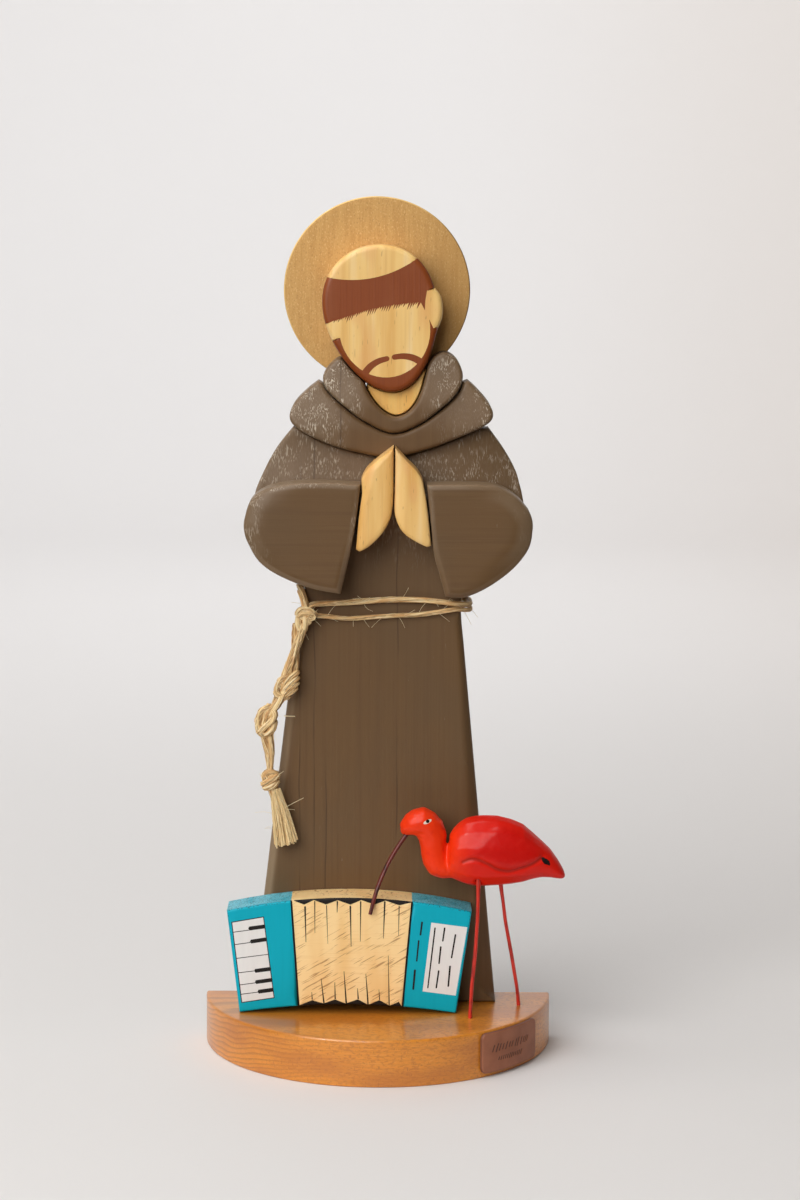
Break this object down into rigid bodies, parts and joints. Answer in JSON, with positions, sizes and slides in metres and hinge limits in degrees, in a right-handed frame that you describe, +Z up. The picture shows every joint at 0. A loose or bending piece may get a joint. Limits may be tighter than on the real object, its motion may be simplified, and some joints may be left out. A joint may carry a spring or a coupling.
{
  "type": "folk art statue",
  "caption": "Standing friar sawn from flat pine boards, with a twine belt, a halo, a painted squeezebox and a red wading bird on a half-disc base.",
  "frame": {"origin": "middle of the half-disc base's rectangle, on its underside", "axes": "+Z up, the figure faces -Y, +X to the viewer's right, where the bird stands"},
  "size_m": [0.1548, 0.0793, 0.3649],
  "materials": {
    "varnished_pine": "honey varnish, satin",
    "leather": "smooth, dyed brown",
    "brown_wood": "thin brown paint with the grain showing",
    "bare_pine": "clear varnish over pine",
    "gold_wood": "matt gold paint",
    "sisal_twine": "twisted natural fibre",
    "painted_block": "satin paint and bare pine",
    "red_wood": "glossy red paint",
    "dark_wire": "dark red paint",
    "red_wire": "red paint"
  },
  "bodies": {
    "root": {"base": "varnished_pine", "leather_tag": "leather", "robe": "brown_wood", "cowl": "brown_wood", "collar": "brown_wood", "neck": "bare_pine", "head": "bare_pine", "halo": "gold_wood", "sleeve_left": "brown_wood", "sleeve_right": "brown_wood", "hand_left": "bare_pine", "hand_right": "bare_pine", "belt_rope": "sisal_twine", "belt_knot": "sisal_twine", "rope_tail": "sisal_twine", "accordion": "painted_block", "ibis_body": "red_wood", "ibis_beak": "dark_wire", "ibis_leg_near": "red_wire", "ibis_leg_far": "red_wire"}
  },
  "joints": []
}
